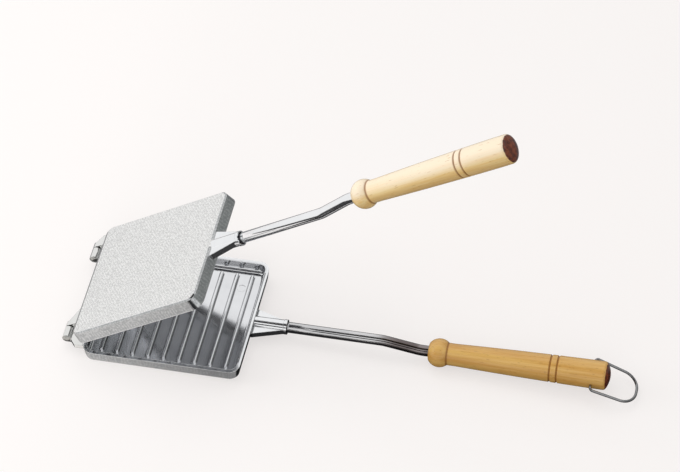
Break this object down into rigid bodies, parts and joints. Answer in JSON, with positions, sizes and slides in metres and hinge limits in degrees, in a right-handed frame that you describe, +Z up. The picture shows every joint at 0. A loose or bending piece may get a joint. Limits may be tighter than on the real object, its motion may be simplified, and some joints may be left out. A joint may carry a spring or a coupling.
{
  "type": "pie iron",
  "caption": "Hinged cast trays with ribbed floors that toast a filled sandwich over a stove, on cranked rods with turned wooden grips and a wire loop that holds them shut.",
  "frame": {"origin": "centre of the lower tray's outer face, the face that sits on the stove", "axes": "+X from the hinge to the grips, +Y along the hinge line, +Z up out of the lower tray's cavity"},
  "size_m": [0.469, 0.12, 0.2842],
  "materials": {
    "cast_aluminium": "satin sides, polished cavity, finely hatched outer face",
    "rod_chrome": "polished",
    "wire_steel": "bright wire",
    "pin_steel": "plain",
    "turned_wood": "lacquered, with a dark stained end"
  },
  "bodies": {
    "lower_half": {"lower_plate": "cast_aluminium", "hinge_pin_near": "pin_steel", "hinge_pin_far": "pin_steel", "lower_rod": "rod_chrome", "lower_grip": "turned_wood"},
    "upper_half": {"upper_plate": "cast_aluminium", "upper_rod": "rod_chrome", "upper_grip": "turned_wood"},
    "wire_loop": {"latch_loop": "wire_steel"}
  },
  "joints": [
    {"name": "tray_hinge", "type": "hinge", "parent": "lower_half", "child": "upper_half", "pos_m": [-0.0814, 0, 0.011], "axis": [0, -1, 0], "range_deg": [-32.5, 147.5]},
    {"name": "loop_pivot", "type": "hinge", "parent": "lower_half", "child": "wire_loop", "pos_m": [0.347, 0, -0.0012], "axis": [0, -1, 0], "range_deg": [-50, 125]}
  ]
}
